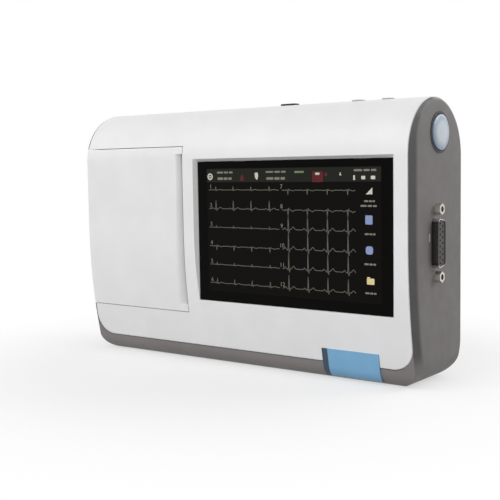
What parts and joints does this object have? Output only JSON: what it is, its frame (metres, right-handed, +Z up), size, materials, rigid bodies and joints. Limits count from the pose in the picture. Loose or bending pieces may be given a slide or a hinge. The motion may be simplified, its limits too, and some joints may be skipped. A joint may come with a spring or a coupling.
{
  "type": "ECG recorder",
  "caption": "Portable ECG recorder in an upright arch-topped case, with a touch screen, a lead socket, a power button and a printer behind a hinged door.",
  "frame": {"origin": "middle of the flat underside of the case", "axes": "+X to the right as one faces the screen, +Y towards the back, +Z up"},
  "size_m": [0.2212, 0.0585, 0.1428],
  "materials": {
    "white_shell": "fine matte",
    "grey_housing": "satin texture",
    "blue_tab": "gloss",
    "screen_glass": "polished",
    "button_cap": "satin",
    "dark_plastic": "matte",
    "black_rubber": "matte",
    "board_green": "solder mask",
    "steel": "brushed",
    "nickel": "bright plate",
    "contact_gold": "plated",
    "aluminium": "plain",
    "natural_plastic": "matte",
    "paper": "matte",
    "battery_wrap": "film"
  },
  "bodies": {
    "case": {"front_shell": "white_shell", "rear_housing": "grey_housing", "door_hinge_pins": "steel", "door_magnet": "nickel", "lower_tab": "blue_tab", "touch_glass": "screen_glass", "glass_gasket": "black_rubber", "lcd_module": "dark_plastic", "lcd_bracket": "aluminium", "bracket_screws": "steel", "board_standoffs": "contact_gold", "main_board": "board_green", "board_components": "dark_plastic", "board_screws": "steel", "speaker": "dark_plastic", "battery_pack": "battery_wrap", "battery_cover": "grey_housing", "battery_cover_screws": "steel", "case_screws": "steel", "back_feet": "black_rubber", "power_button_ring": "dark_plastic", "power_switch": "dark_plastic", "power_switch_board": "board_green", "switch_board_screws": "steel", "lead_socket_shell": "nickel", "lead_socket_insulator": "dark_plastic", "lead_socket_contacts": "contact_gold", "lead_socket_posts": "nickel", "lead_board": "board_green", "usb_socket": "nickel", "usb_cover": "black_rubber", "dc_inlet": "dark_plastic", "sync_jack": "dark_plastic", "port_board": "board_green", "port_board_screws": "steel", "paper_tray": "natural_plastic", "tray_screws": "steel", "paper_spindle": "natural_plastic", "platen_bushes": "contact_gold", "idler_pin": "steel", "stepper_motor": "steel", "gear_plate": "steel", "gear_plate_spacers": "aluminium", "gear_plate_screws": "steel", "head_spring": "steel", "tear_bar": "steel"},
    "door": {"printer_door": "white_shell", "door_striker": "steel"},
    "power_button": {"power_button": "button_cap"},
    "paper_roll": {"paper_roll": "paper", "roll_core": "natural_plastic"},
    "platen": {"platen_roller": "black_rubber", "platen_shaft": "steel", "platen_gear": "natural_plastic"},
    "idler": {"idler_gear": "natural_plastic"},
    "motor_rotor": {"motor_pinion": "contact_gold"},
    "print_head": {"thermal_head": "dark_plastic", "head_bracket": "aluminium"}
  },
  "joints": [
    {"name": "door_hinge", "type": "hinge", "parent": "case", "child": "door", "pos_m": [-0.1073, -0.0185, 0.0746], "axis": [0, 0, -1], "range_deg": [0, 90]},
    {"name": "power_press", "type": "slide", "parent": "case", "child": "power_button", "axis": [-1, 0, 0], "range_m": [0, 0.001], "stiffness_N_per_m": 1500},
    {"name": "roll_spin", "type": "hinge", "parent": "case", "child": "paper_roll", "pos_m": [-0.0705, 0.0036, 0.0746], "axis": [0, 0, 1], "continuous": true},
    {"name": "platen_spin", "type": "hinge", "parent": "case", "child": "platen", "pos_m": [-0.0965, -0.0045, 0.0746], "axis": [0, 0, 1], "continuous": true},
    {"name": "idler_spin", "type": "hinge", "parent": "case", "child": "idler", "pos_m": [-0.08064, 0.0029, 0.0239], "axis": [0, 0, 1], "continuous": true},
    {"name": "motor_spin", "type": "hinge", "parent": "case", "child": "motor_rotor", "pos_m": [-0.06748, 0.00768, 0.0219], "axis": [0, 0, 1], "continuous": true},
    {"name": "head_lift", "type": "slide", "parent": "case", "child": "print_head", "axis": [0, 1, 0], "range_m": [0, 0.0008], "stiffness_N_per_m": 3000, "deforming": ["head_spring"]}
  ],
  "couplings": [
    {"joint": "idler_spin", "follows": "platen_spin", "ratio": -0.75},
    {"joint": "motor_spin", "follows": "platen_spin", "ratio": 1.875}
  ]
}
